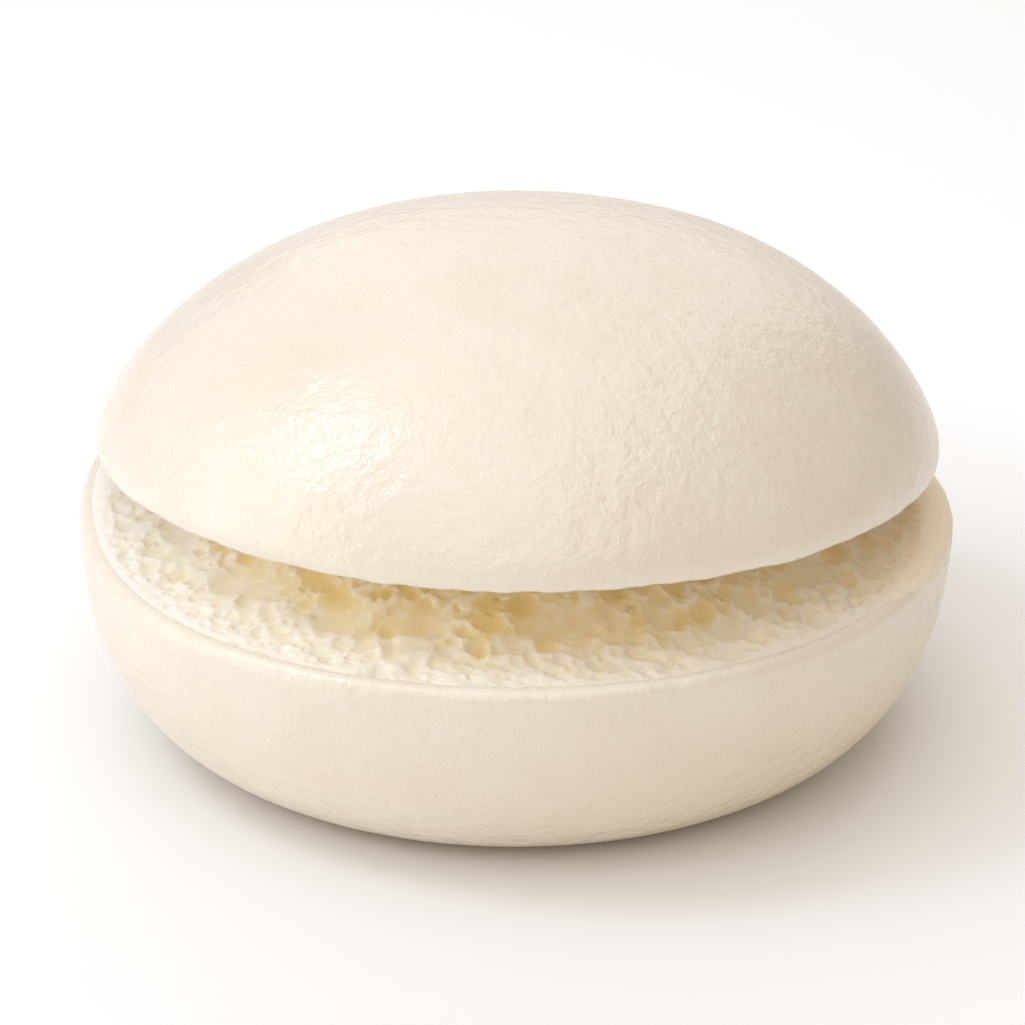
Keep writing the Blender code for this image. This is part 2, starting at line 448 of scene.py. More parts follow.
def total_swell(swells: Sequence[Swell], azimuth: np.ndarray) -> np.ndarray:
    """Sum of several swells at each azimuth."""
    return sum((swell.at(azimuth) for swell in swells), np.zeros_like(azimuth))


def unevenness(points: np.ndarray, size: float, height: float) -> np.ndarray:
    """Soft random swells at points.

    Args:
        points: An array of points, its last axis x, y and z.
        size: Width of a swell.
        height: Greatest height, about, up or down.

    Returns:
        A height for each point.
    """
    flat = points.reshape(-1, 3) / size
    values = np.fromiter((noise.noise(Vector(point)) for point in flat), float, len(flat))
    return height * values.reshape(points.shape[:-1])


def spaced(profile: Sequence[tuple[float, float]], spacing: float) -> np.ndarray:
    """Points along a profile at even distances.

    Args:
        profile: Pairs of radius and height, close enough together to be followed in straight lines.
        spacing: Distance between the points to return, about.

    Returns:
        An array of pairs of radius and height, with both ends of the profile.
    """
    points = np.array(profile)
    run = np.concatenate(([0.0], np.cumsum(np.hypot(*np.diff(points, axis=0).T))))
    stops = np.linspace(0.0, run[-1], max(2, round(run[-1] / spacing)) + 1)
    return np.stack([np.interp(stops, run, points[:, axis]) for axis in (0, 1)], axis=1)


def quarter(powers: Sequence[float], start: float, end: float) -> tuple[np.ndarray, np.ndarray]:
    """Part of a quarter of a superellipse.

    Args:
        powers: Its powers across and up.
        start: Turn of the first point, in radians: 0 is the side and half of pi is the top.
        end: Turn of the last point.

    Returns:
        The points' shares of its half width and of its height.
    """
    turns = np.linspace(start, end, PROFILE_STEPS)
    across = np.clip(np.cos(turns), 0.0, 1.0) ** (2.0 / powers[0])
    return across, np.sin(turns) ** (2.0 / powers[1])


def carried_round(profile: np.ndarray, segments: int) -> tuple[np.ndarray, np.ndarray, np.ndarray]:
    """Carries a profile round the bun's axis.

    Args:
        profile: Pairs of radius and height.
        segments: Number of points in a ring.

    Returns:
        Radius, height and azimuth of every point, ring by ring.
    """
    height, azimuth = np.meshgrid(profile[:, 1], azimuths(segments), indexing="ij")
    return np.broadcast_to(profile[:, :1], height.shape), height, azimuth


def turned_mesh(
    name: str, rings: np.ndarray, kept: Mapping[str, np.ndarray], closed: bool = True
) -> bpy.types.Mesh:
    """Mesh over rings of points.

    Args:
        name: The mesh's name.
        rings: Array of rings, points and coordinates, from one pole to the other.
        kept: Attributes by name: a number for each ring, or for each point.
        closed: Whether both ends are closed with a fan; an open mesh has only its last end closed.

    Returns:
        The mesh, with its faces outwards if the rings run up the outside, seen from above anticlockwise.
    """
    count, segments = rings.shape[:2]
    body = np.arange(count * segments).reshape(count, segments)
    after = np.roll(body, -1, axis=1)
    quads = np.stack([body[:-1], after[:-1], after[1:], body[1:]], axis=-1).reshape(-1, 4)
    ends = [(-1, False)] + ([(0, True)] if closed else [])
    points = [rings.reshape(-1, 3)]
    faces: list[Sequence[int]] = quads.tolist()
    for end, turned in ends:
        middle = sum(len(group) for group in points)
        points.append(rings[end].mean(axis=0)[None])
        for here, there in zip(body[end].tolist(), after[end].tolist()):
            faces.append((there, here, middle) if turned else (here, there, middle))
    mesh = bpy.data.meshes.new(name)
    mesh.from_pydata(np.concatenate(points).tolist(), [], faces)
    for attribute, numbers in kept.items():
        each = numbers if numbers.ndim == 2 else numbers[:, None]
        values = np.broadcast_to(each, (count, segments)).ravel()
        poles = [values[body[end]].mean() for end, _ in ends]
        carried = mesh.attributes.new(attribute, "FLOAT", "POINT")
        carried.data.foreach_set("value", np.append(values, poles))
    mesh.shade_smooth()
    return mesh


def add_object(name: str, data: bpy.types.ID) -> bpy.types.Object:
    """Adds an object at the origin.

    Args:
        name: Its name.
        data: Its mesh, light or camera.

    Returns:
        The object.
    """
    added = bpy.data.objects.new(name, data)
    bpy.context.scene.collection.objects.link(added)
    return added


def new_finish(name: str) -> tuple[bpy.types.Material, Graph]:
    """Makes an empty material.

    Args:
        name: Its name.

    Returns:
        The material, and its tree to fill.
    """
    material = bpy.data.materials.new(name)
    material.use_nodes = True
    return material, Graph(material.node_tree)


@dataclass(frozen=True)
class Dough:
    """What the skin's and the crumb's finishes share: how light passes through steamed dough."""

    subsurface: float = 0.15
    reach: float = 0.8 * MM
    reach_by_colour: tuple[float, float, float] = (1.0, 0.72, 0.42)
    index: float = 1.42

    def shader(self, graph: Graph, values: Mapping[Key, Value]) -> None:
        """Adds the shader and the material's output.

        Args:
            graph: The material's tree.
            values: What the finish itself links or sets.
        """
        shared: dict[Key, Value] = {
            "Subsurface Weight": self.subsurface,
            "Subsurface Radius": self.reach_by_colour,
            "Subsurface Scale": self.reach,
            "IOR": self.index,
        }
        shader = graph.node("ShaderNodeBsdfPrincipled", None, {**shared, **values})
        graph.node("ShaderNodeOutputMaterial", None, {"Surface": shader})


@dataclass(frozen=True)
class SkinFinish:
    """Satin steamed skin: ivory, faintly mottled, with fine crinkles that break its soft gloss."""

    name: str
    colour: Colour
    mottle: Colour
    # lip: painted highlight, a bluish-white brightening along the base's rounded lip and the lid's cut edge,
    # where the skin turns into the crumb
    lip: Colour
    # low: painted shade, a darker and yellower tint low on the base's right side, turned away from the main
    # lights towards warm bounced light
    low: Colour
    # foot: painted contact shade along the bottom edge, brown near the floor, partly also the browning where
    # the bun sat on its paper
    foot: Colour
    roughness: float = 0.24
    roughness_spread: float = 0.14
    sheen_level: float = 1.0
    mottle_size: float = 9.0 * MM
    mottle_levels: Span = (0.36, 0.66)
    speck_size: float = 1.1 * MM
    speck_share: float = 0.2
    wrinkle_size: float = 3.2 * MM
    wrinkle_height: float = 0.26 * MM
    wrinkle_rough: float = 0.55
    crinkle_size: float = 1.2 * MM
    crinkle_height: float = 0.17 * MM
    crinkle_rough: float = 0.6
    grain_size: float = 0.4 * MM
    grain_height: float = 0.04 * MM
    bend_size: float = 4.0 * MM
    bend: float = 1.6 * MM
    # Where the painted lip highlight falls: where the relief is low near the rim, and above a height
    lip_relief: Span = (0.6, 0.0)
    lip_highlight_heights: Span = (12.0 * MM, 16.0 * MM)
    # Heights and stretch of x over which the painted shade low on the right comes in
    low_shade_heights: Span = (22.0 * MM, 10.0 * MM)
    low_shade_side: Slope = (-15.0 * MM, 35.0 * MM, 0.2, 1.0)
    # Heights of the painted contact shade and browning at the foot, with a wandering edge
    foot_heights: Span = (2.0 * MM, 0.0)
    foot_wander: float = 0.6 * MM
    dough: Dough = field(default_factory=Dough)

    def make(self) -> bpy.types.Material:
        """Makes the finish.

        Returns:
            The material.
        """
        material, graph = new_finish(self.name)
        place = graph.node("ShaderNodeTexCoord", output="Object")
        blotches = graph.noise(place, self.mottle_size, 3.0)
        specks = graph.noise(place, self.speck_size, 3.0)
        mottled = blotches * (1.0 - self.speck_share) + specks * self.speck_share
        colour = graph.mixed(self.colour, self.mottle, graph.ramp(mottled, *self.mottle_levels))
        height, side = graph.part(place, "Z"), graph.part(place, "X")
        # Painted highlight along the base's lip and the lid's cut edge
        lip_highlight = graph.ramp(graph.carried(RELIEF), *self.lip_relief) * graph.ramp(height, *self.lip_highlight_heights)
        # Painted shade low on the base, stronger towards the right
        low_shade = graph.ramp(height, *self.low_shade_heights) * graph.ramp(side, *self.low_shade_side)
        # Painted contact shade at the foot, with some browning where the bun sat on its paper
        foot_shade_and_browning = graph.ramp(height + (blotches - 0.5) * self.foot_wander, *self.foot_heights)
        colour = graph.tinted(colour, ((lip_highlight, self.lip), (low_shade, self.low), (foot_shade_and_browning, self.foot)))
        bent = graph.warped(place, self.bend_size, self.bend)
        wrinkles = graph.noise(bent, self.wrinkle_size, 4.0, rough=self.wrinkle_rough)
        crinkles = graph.noise(bent, self.crinkle_size, 3.0, rough=self.crinkle_rough)
        grain = graph.noise(place, self.grain_size)
        rise = wrinkles * self.wrinkle_height + crinkles * self.crinkle_height + grain * self.grain_height
        self.dough.shader(
            graph,
            {
                "Base Color": colour,
                "Roughness": self.roughness + (specks - 0.5) * self.roughness_spread,
                "Specular IOR Level": self.sheen_level,
                "Normal": graph.bump(rise),
            },
        )
        return material


@dataclass(frozen=True)
class Cups:
    """Shallow round cups that open in a torn face, some side by side and some apart.

    Their radii run from least to most, as shares of their spacing, and shrink away beyond a reach.
    """

    name: str
    size: float
    depth: float
    least: float
    most: float
    shift: float
    within: float
    shrink_by: float = 1.5 * MM
    shrunk: float = 0.15

    def bowls(self, graph: Graph, place: Term, reach: Term, size: Value) -> Term:
        """How deep in a cup a place lies: 0 between the cups, 1 at their middles.

        Args:
            graph: The tree, of a finish or of a form.
            place: Place in the crumb's own bent space.
            reach: Distance from the bun's axis.
            size: Spacing of the cups.

        Returns:
            The share.
        """
        scaled = graph.vector("SCALE", place, scale=1.0 / size)
        cell = graph.cells(graph.vector("ADD", scaled, (self.shift, 0.0, self.shift)))
        radius = graph.part(cell.output("Color"), "X") * (self.most - self.least) + self.least
        beyond, inside = self.within + self.shrink_by, self.within - self.shrink_by
        radius = radius * graph.ramp(reach, beyond, inside, self.shrunk, 1.0)
        return graph.largest(1.0 - (cell / radius) ** 2.0, 0.0)


@dataclass(frozen=True)
class Grain:
    """How the dough has risen: what its cells' form and their finish share."""

    cups: tuple[Cups, ...] = (
        Cups("Large cup", 3.0 * MM, 0.80 * MM, 0.10, 0.76, 31.0, 42.0 * MM),
        Cups("Wide cup", 1.9 * MM, 0.58 * MM, 0.25, 0.76, 36.2, 44.5 * MM),
        Cups("Small cup", 1.1 * MM, 0.38 * MM, 0.35, 0.74, 41.3, 50.0 * MM),
    )
    bend_size: float = 2.0 * MM
    bend: float = 1.1 * MM
    squash: float = 1.15

    def bent(self, graph: Graph, place: Term) -> Term:
        """Place shifted a little at random, so that no cell is a true ball, and drawn out in height.

        Args:
            graph: The tree, of a finish or of a form.
            place: Where the crumb has grown.

        Returns:
            The place in the crumb's own bent space.
        """
        shift = graph.noise(place, self.bend_size, output="Color")
        even = graph.vector("SUBTRACT", shift, (0.5, 0.5, 0.5))
        moved = graph.vector("ADD", place, graph.vector("SCALE", even, scale=self.bend))
        return graph.vector("MULTIPLY", moved, (1.0, 1.0, self.squash))


@dataclass(frozen=True)
class CrumbFinish:
    """Moist open crumb: near white on its thin ridges, with painted shade that makes the floors of its cells
    and its deeper parts yellower.

    Its colour runs in steps from ridge to cup to deep, by a share that the cups' floors, depth, a random
    wander and streaks add to, each by its weight; what the floors and the depth add is painted shade. Tints
    add painted shade under the lid's edge and on the right, and painted light on the left. A side is a
    stretch of x.
    """

    name: str
    ridge: Colour
    # cup and deep: painted shade, yellower colours for the floors of the cells and the deeper crumb
    cup: Colour
    deep: Colour
    # moist: painted shade, a yellow tint inwards of the lid's edge, where the lid shades the crumb and light
    # bounces between the halves
    lid_shade_tint: Colour
    # aged: painted shade, a darker and yellower tint over the crumb on the right side, away from the main
    # lights
    right_shade: Colour
    # pale: painted light, a brightening and cooling tint over the crumb on the lit left side
    pale: Colour
    steps: tuple[float, float, float] = (0.08, 0.45, 0.95)
    roughness: float = 0.45
    sharpness: float = 0.3
    cup_shares: tuple[float, float, float] = (1.0, 0.85, 0.65)
    closed_share: float = 0.15
    ridge_height: float = 0.04 * MM
    streak: tuple[float, float] = (1.8 * MM, 0.7 * MM)
    streak_ring: float = 44.0 * MM
    streak_levels: Span = (0.42, 0.66)
    streak_reach: Span = (42.5 * MM, 44.5 * MM)
    streak_height: float = 0.07 * MM
    streak_weight: float = 0.2
    grain_size: float = 0.45 * MM
    grain_height: float = 0.05 * MM
    full_depth: float = 1.3 * MM
    wander_size: float = 2.5 * MM
    wander: float = 8.0 * MM
    wander_weight: float = 0.25
    # Weights of the painted shade that the cups' floors and the depth below the torn face add
    floor_weight: float = 0.95
    # Floor weight taken off by side, so the cups' floors carry less painted shade on the left and middle than
    # on the right
    floor_shade_drop: float = 0.55
    # Extra weights of the painted recess shade where the painted shade under the lid falls
    lid_shade_floor_weight: float = 0.30
    depth_weight: float = 0.3
    lid_shade_depth_weight: float = 0.55
    # Where the painted shade under the lid starts and is full, and how much of it the ridges take
    lid_shade_reach: Span = (42.0 * MM, 37.0 * MM)
    lid_shade_on_ridges: float = 0.4
    # Stretch of x over which the painted shade on the right comes in
    right_shade_side: Span = (32.0 * MM, 46.0 * MM)
    # Stretch of x over which the painted light on the left comes in
    lit_left_side: Span = (-8.0 * MM, -40.0 * MM)
    # How far the painted shade under the lid draws back on the lit left side
    lid_shade_left_shift: Slope = (-5.0 * MM, -42.0 * MM, 0.0, 3.5 * MM)
    # Stretch of x over which the painted shade under the lid and in the depth weakens towards the right
    shade_side: Slope = (2.0 * MM, 24.0 * MM, 1.0, 0.6)
    risen: Grain = field(default_factory=Grain)
    dough: Dough = field(default_factory=lambda: Dough(subsurface=0.4, reach=0.65 * MM))

    def _floors(self, graph: Graph, reach: Term) -> Term:
        """Finds the floors of the cups.

        Args:
            graph: The material's tree.
            reach: Distance from the bun's axis.

        Returns:
            Share of a floor at a place, 0 between the cups of all three sizes.
        """
        bent = self.risen.bent(graph, graph.carried(GROWN_AT, "Vector"))
        floors = []
        for cups, share in zip(self.risen.cups, self.cup_shares):
            bowls = cups.bowls(graph, bent, reach, cups.size)
            floors.append(graph.ramp(bowls, 0.0, self.sharpness) * share)
        return graph.largest(*floors)

    def _streaks(self, graph: Graph, place: Term, reach: Term) -> Term:
        """Draws the pressed streaks along the rim.

        Args:
            graph: The material's tree.
            place: Place on the bun.
            reach: Distance from the bun's axis.

        Returns:
            Share of a streak at a place, 0 away from the rim.
        """
        outward = graph.vector("NORMALIZE", graph.vector("MULTIPLY", place, (1.0, 1.0, 0.0)))
        along = graph.vector("SCALE", outward, scale=self.streak_ring / self.streak[0])
        across = graph.joined(Z=(reach + graph.part(place, "Z")) / self.streak[1])
        lines = graph.noise(graph.vector("ADD", along, across), 1.0, 3.0)
        return graph.ramp(lines, *self.streak_levels) * graph.ramp(reach, *self.streak_reach)

    def make(self) -> bpy.types.Material:
        """Makes the finish.

        Returns:
            The material.
        """
        material, graph = new_finish(self.name)
        place = graph.node("ShaderNodeTexCoord", output="Object")
        reach, side = graph.reach(place), graph.part(place, "X")
        opened = self.closed_share + (1.0 - self.closed_share) * graph.carried(OPENNESS)
        floors = self._floors(graph, reach) * opened
        streaks = self._streaks(graph, place, reach)
        wander = graph.noise(place, self.wander_size, 3.0) - 0.5
        # Painted shade by side: under the lid and in the depth it weakens to the right, while the cups'
        # floors take more
        shade_at_side = graph.ramp(side, *self.shade_side)
        # Painted shade under the lid's edge, inwards of a wandering reach, drawn back on the lit left
        shifted = reach + wander * self.wander + graph.ramp(side, *self.lid_shade_left_shift)
        lid_shade = graph.ramp(shifted, *self.lid_shade_reach) * shade_at_side
        floor_weight = self.floor_weight - self.floor_shade_drop * shade_at_side
        floor_weight = floor_weight + self.lid_shade_floor_weight * lid_shade
        depth_weight = (self.depth_weight + self.lid_shade_depth_weight * lid_shade) * shade_at_side
        # Painted shade in the recesses: the cups' floors and the depth below the torn face move the colour
        # from ridge to cup to deep
        share = floors * floor_weight + graph.carried(CELL_DEPTH) / self.full_depth * depth_weight
        share = share + wander * self.wander_weight - streaks * self.streak_weight
        stops = tuple(zip(self.steps, (self.ridge, self.cup, self.deep)))
        colour = graph.node("ShaderNodeValToRGB", {"stops": stops}, {"Fac": share})
        # Share of the painted shade under the lid, more on the cups' floors than on the ridges
        lid_shade_share = lid_shade * (self.lid_shade_on_ridges + (1.0 - self.lid_shade_on_ridges) * floors)
        # Painted shade on the right side and painted light on the left side, by x
        right_shade, pale = graph.ramp(side, *self.right_shade_side), graph.ramp(side, *self.lit_left_side)
        colour = graph.tinted(colour, ((lid_shade_share, self.lid_shade_tint), (right_shade, self.right_shade), (pale, self.pale)))
        grain = graph.noise(place, self.grain_size, 3.0)
        rise = streaks * self.streak_height - floors * self.ridge_height + grain * self.grain_height
        values = {"Base Color": colour, "Roughness": self.roughness, "Normal": graph.bump(rise)}
        self.dough.shader(graph, values)
        return material


@dataclass(frozen=True)
class SkinRelief:
    """Wrinkles of the skin that stand in its mesh: soft dimples, and finer creases across them."""

    dimple_size: float = 7.0 * MM
    dimple_height: float = 0.12 * MM
    crease_size: float = 2.2 * MM
    crease_height: float = 0.015 * MM
    bend_size: float = 5.0 * MM
    bend: float = 2.5 * MM

    def apply(self, piece: bpy.types.Object, material: bpy.types.Material) -> None:
        """Raises the wrinkles on a piece, where its relief attribute lets them.

        Args:
            piece: The skin.
            material: Its finish.
        """
        tree = Relief(
            piece.name + "_wrinkles",
            {
                "Dimple size": self.dimple_size,
                "Dimple height": self.dimple_height,
                "Crease size": self.crease_size,
                "Crease height": self.crease_height,
            },
        )
        place = tree.node("GeometryNodeInputPosition")
        dimples = tree.noise(place, tree.size("Dimple size"), 1.0)
        bent = tree.warped(place, self.bend_size, self.bend, 1.0)
        creases = tree.noise(bent, tree.size("Crease size"), 1.0, "RIDGED_MULTIFRACTAL")
        rise = (dimples - 0.5) * tree.size("Dimple height") - (creases - 0.5) * tree.size("Crease height")
        normal = tree.node("GeometryNodeInputNormal")
        offset = tree.vector("SCALE", normal, scale=rise * tree.kept(RELIEF))
        raised = tree.node("GeometryNodeSetPosition", None, {"Geometry": tree.geometry(), "Offset": offset})
        tree.dress(piece, raised, material)


@dataclass(frozen=True)
class Cells:
    """One size of open cells.

    Their radii run from least to most, as shares of their spacing, and the chance is the share of them that
    is open. Their middles lie from deepest to highest over the torn face, in spacings, where the face is at
    least as open as they need.
    """

    name: str
    size: float
    least: float
    most: float
    chance: float
    deepest: float
    highest: float
    needs: float


@dataclass(frozen=True)
class Foam:
    """Open cells of the torn crumb, cut into the solid under a torn face.

    The face is a mesh seen from above, with an openness attribute that says how large the cells may grow.
    """

    layers: tuple[Cells, ...] = (
        Cells("Coarse cell", 2.9 * MM, 0.44, 0.64, 0.4, 0.10, 0.45, 0.3),
        Cells("Middle cell", 1.7 * MM, 0.42, 0.60, 0.4, 0.02, 0.42, 0.3),
    )
    layer_step: tuple[float, float] = (7.31, 3.7)
    layer_round: float = 0.08 * MM
    risen: Grain = field(default_factory=Grain)
    voxel: float = 0.30 * MM
    voxel_margin: int = 2
    side_room: float = 0.7 * MM
    adaptivity: float = 0.06
    wall: float = 0.14 * MM
    wall_round: float = 0.1 * MM
    edge_round: float = 0.08 * MM
    gate_by: float = 0.1
    hollow_depth: float = 0.7 * MM
    flare_from: float = 0.0
    flare_by: float = 0.25 * MM
    flare_wander: float = 1.2 * MM
    flare_wander_size: float = 3.0 * MM
    seed: float = 0.0

    def apply(
        self, piece: bpy.types.Object, outer: float, floor: float, top: float, material: bpy.types.Material
    ) -> None:
        """Turns a torn face into a closed block of crumb.

        Args:
            piece: The object whose mesh is the face; it becomes the crumb.
            outer: Radius of the block.
            floor: Height of its flat underside.
            top: Height that nothing of the face stands above.
            material: Its finish.
        """
        tree = Relief(
            piece.name + "_foam",
            {
                **{layer.name: layer.size for layer in self.layers + self.risen.cups},
                "Wall": self.wall,
                "Outer radius": outer,
                "Underside": floor,
                "Seed": self.seed,
            },
        )
        face = tree.geometry()
        place = tree.node("GeometryNodeInputPosition")
        grown_at = tree.vector("ADD", place, tree.joined(X=tree.size("Seed")))
        bent, reach = self.risen.bent(tree, grown_at), tree.reach(place)
        openness = self._sampled(tree, face, OPENNESS, place)
        over = self._above(tree, face, place)
        bowls = (cups.bowls(tree, bent, reach, tree.size(cups.name)) * cups.depth for cups in self.risen.cups)
        torn = over + tree.largest(0.0, *bowls) * openness
        crumb = tree.largest(self._outside(tree, face, place), torn)
        layers = [self._layer(tree, face, bent, cells, number) for number, cells in enumerate(self.layers)]
        opened = reduce(lambda one, other: tree.maths("SMOOTH_MIN", one, other, self.layer_round), layers)
        crumb = tree.maths("SMOOTH_MAX", crumb, 0.0 - opened, self.edge_round)
        fullness = {"Value": 0.5 - crumb / (2.0 * self.voxel), "Min": 0.0, "Max": 1.0}
        density = tree.node("ShaderNodeClamp", None, fullness)
        block = self._block(tree, density, outer + self.side_room, floor, top)
        hollowed = self._sampled(tree, face, HOLLOWED, place) * self.hollow_depth
        depth = tree.largest(0.0 - over, 0.0) + hollowed
        for name, kind, value in (
            (CELL_DEPTH, "FLOAT", depth),
            (OPENNESS, "FLOAT", openness),
            (GROWN_AT, "FLOAT_VECTOR", grown_at),
        ):
            block = tree.node(
                "GeometryNodeStoreNamedAttribute",
                {"data_type": kind, "domain": "POINT"},
                {"Geometry": block, "Name": name, "Value": value},
            )
        tree.dress(piece, block, material)

    def _outside(self, tree: Relief, face: Term, place: Term) -> Term:
        """Measures how far outside the block a place lies.

        Args:
            tree: The foam's tree.
            face: The torn face, which carries the flare of the block's wall.
            place: The place.

        Returns:
            Distance under the underside, or beyond the wall and its flare; negative inside the block.
        """
        height = tree.part(place, "Z")
        wander = (tree.noise(place, self.flare_wander_size) - 0.5) * self.flare_wander
        upper = tree.ramp(height + wander, self.flare_from - self.flare_by, self.flare_from + self.flare_by)
        wall = tree.size("Outer radius") + self._sampled(tree, face, FLARE, place) * upper
        return tree.largest(tree.size("Underside") - height, tree.reach(place) - wall)

    @staticmethod
    def _above(tree: Relief, face: Term, place: Term) -> Term:
        """Measures how far a place lies from the torn face.

        Args:
            tree: The foam's tree.
            face: The torn face.
            place: The place.

        Returns:
            Signed distance: positive above the face, negative inside the crumb.
        """
        values = {"Target": face, "Source Position": place}
        near = tree.node("GeometryNodeProximity", {"target_element": "FACES"}, values)
        higher = tree.part(place, "Z") - tree.part(near.output("Position"), "Z")
        return near.output("Distance") * tree.maths("SIGN", higher + TOUCHING)

    @staticmethod
    def _sampled(tree: Relief, face: Term, name: str, place: Term) -> Term:
        """The torn face's own number at the point of it that is nearest to a place."""
        values = {"Mesh": face, "Value": tree.kept(name), "Sample Position": place}
        return tree.node("GeometryNodeSampleNearestSurface", {"data_type": "FLOAT"}, values)

    def _layer(self, tree: Relief, face: Term, place: Term, cells: Cells, number: int) -> Term:
        """Lays out one size of cells.

        Args:
            tree: The foam's tree.
            face: The torn face.
            place: Place in the foam's own drawn-out space.
            cells: The size and kind of cell.
            number: The layer's own number, which shifts its pattern.

        Returns:
            Signed distance from the nearest cell, negative inside it.
        """
        size = tree.size(cells.name)
        shift = tree.joined(X=number * self.layer_step[0], Y=number * self.layer_step[1])
        grid = tree.vector("ADD", tree.vector("SCALE", place, scale=1.0 / size), shift)
        cell, edge = tree.cells(grid), tree.cells(grid, "DISTANCE_TO_EDGE")
        middle = tree.vector("SCALE", tree.vector("SUBTRACT", cell.output("Position"), shift), scale=size)
        middle = tree.vector("MULTIPLY", middle, (1.0, 1.0, 1.0 / self.risen.squash))
        middle = tree.vector("SUBTRACT", middle, tree.joined(X=tree.size("Seed")))
        draw = tree.part(cell.output("Color"), "X")
        lot = draw.output("Y")
        openness = self._sampled(tree, face, OPENNESS, middle)
        over = self._above(tree, face, middle) / size
        gate = tree.ramp(over, cells.deepest - self.gate_by, cells.deepest)
        gate = gate * tree.ramp(over, cells.highest + self.gate_by, cells.highest)
        allowed = tree.maths("LESS_THAN", lot, cells.chance) * gate * openness
        allowed = allowed * tree.maths("GREATER_THAN", openness, cells.needs)
        radius = size * (cells.least + draw * (cells.most - cells.least)) * allowed
        ball = cell * size - radius
        walled = tree.size("Wall") - edge * size
        return tree.maths("SMOOTH_MAX", ball, walled, self.wall_round)

    def _block(self, tree: Relief, density: Term, outer: float, floor: float, top: float) -> Term:
        """Meshes the crumb.

        Args:
            tree: The foam's tree.
            density: How full a place is, from 0 to 1.
            outer: Radius that all of the crumb lies within.
            floor: Height of its underside.
            top: Height that nothing of it stands above.

        Returns:
            The mesh, without anything that floats free of it.
        """
        margin = self.voxel * self.voxel_margin
        low = Vector((-outer - margin, -outer - margin, floor - margin))
        high = Vector((outer + margin, outer + margin, top + margin))
        values = {"Density": density, "Background": 0.0, "Min": low, "Max": high}
        for axis, start, end in zip("XYZ", low, high):
            values[f"Resolution {axis}"] = round((end - start) / self.voxel)
        block = tree.node(
            "GeometryNodeVolumeToMesh",
            {"resolution_mode": "GRID"},
            {
                "Volume": tree.node("GeometryNodeVolumeCube", None, values),
                "Threshold": 0.5,
                "Adaptivity": self.adaptivity,
            },
        )
        numbers = {"data_type": "FLOAT"}
        island = tree.node("GeometryNodeInputMeshIsland", output="Island Index")
        size = tree.node("GeometryNodeAccumulateField", numbers, {"Value": 1.0, "Group ID": island}, "Total")
        measured = {"Geometry": block, "Attribute": size}
        largest = tree.node("GeometryNodeAttributeStatistic", numbers, measured, "Max")
        smaller = {**numbers, "operation": "LESS_THAN"}
        loose = tree.node("FunctionNodeCompare", smaller, {"A": size, "B": largest})
        values = {"Geometry": block, "Selection": loose}
        return tree.node("GeometryNodeDeleteGeometry", {"domain": "POINT"}, values)


@dataclass(frozen=True)
class TornFace:
    """Form of a torn face without its cells, seen from above: a dense band, a rise, and the flat core.

    The band is closed as far in as closed_until says, and the face is fully open an opening width further.
    """

    outer: float
    core: float
    height_at: Callable[[np.ndarray, np.ndarray, np.ndarray], np.ndarray]
    closed_until: Callable[[np.ndarray], np.ndarray]
    opening_width: float
    flare: Callable[[np.ndarray], np.ndarray] = np.zeros_like
    hollows: tuple[Hollow, ...] = ()
    hollow_share: float = 1.3
    hollow_closing: float = 0.75
    uneven: float = 0.35 * MM
    uneven_size: float = 6.0 * MM
    fine_uneven: float = 0.12 * MM
    fine_uneven_size: float = 2.2 * MM
    fine_shift: float = 0.1
    segments: int = 540
    spacing: float = 0.4 * MM
    core_spacing: float = 4.0
    core_margin: float = 2.0 * MM
    core_opening: float = 0.45
    core_opening_margin: float = 2.5 * MM
    pole_radius: float = 2.0 * MM

    def mesh(self, name: str) -> bpy.types.Mesh:
        """Builds the face.

        Args:
            name: The mesh's name.

        Returns:
            The mesh, which carries its openness, its hollows and the flare of the wall under it.
        """
        inner = self.core - self.core_margin
        coarse = self.core_spacing * self.spacing
        rings = (np.arange(self.outer, inner, -self.spacing), np.arange(inner, self.pole_radius, -coarse))
        radius, azimuth = np.meshgrid(np.concatenate(rings), azimuths(self.segments), indexing="ij")
        x, y = on_plan(radius, azimuth)
        azimuth = np.arctan2(x, -y)
        height = self.height_at(radius, x, y)
        torn = np.clip((self.closed_until(azimuth) - radius) / self.opening_width, 0.0, 1.0)
        flat = np.stack([x, y, height], axis=-1)
        bumps = unevenness(flat, self.uneven_size, self.uneven)
        bumps = bumps + unevenness(flat + self.fine_shift, self.fine_uneven_size, self.fine_uneven)
        sunk, hollowed = np.zeros_like(height), np.zeros_like(height)
        for hollow in self.hollows:
            sink = hollow.sink(x, y)
            sunk = np.maximum(sunk, sink)
            hollowed = np.maximum(hollowed, sink / hollow.depth)
        height = height + bumps * torn - sunk
        in_core = radius < self.core - self.core_opening_margin
        openness = torn ** 0.5 * np.where(in_core, self.core_opening, 1.0)
        closing = self.hollow_closing * np.clip(hollowed * self.hollow_share, 0.0, 1.0)
        kept = {OPENNESS: openness * (1.0 - closing), HOLLOWED: hollowed, FLARE: self.flare(azimuth)}
        return turned_mesh(name, np.stack([x, y, height], axis=-1), kept, closed=False)


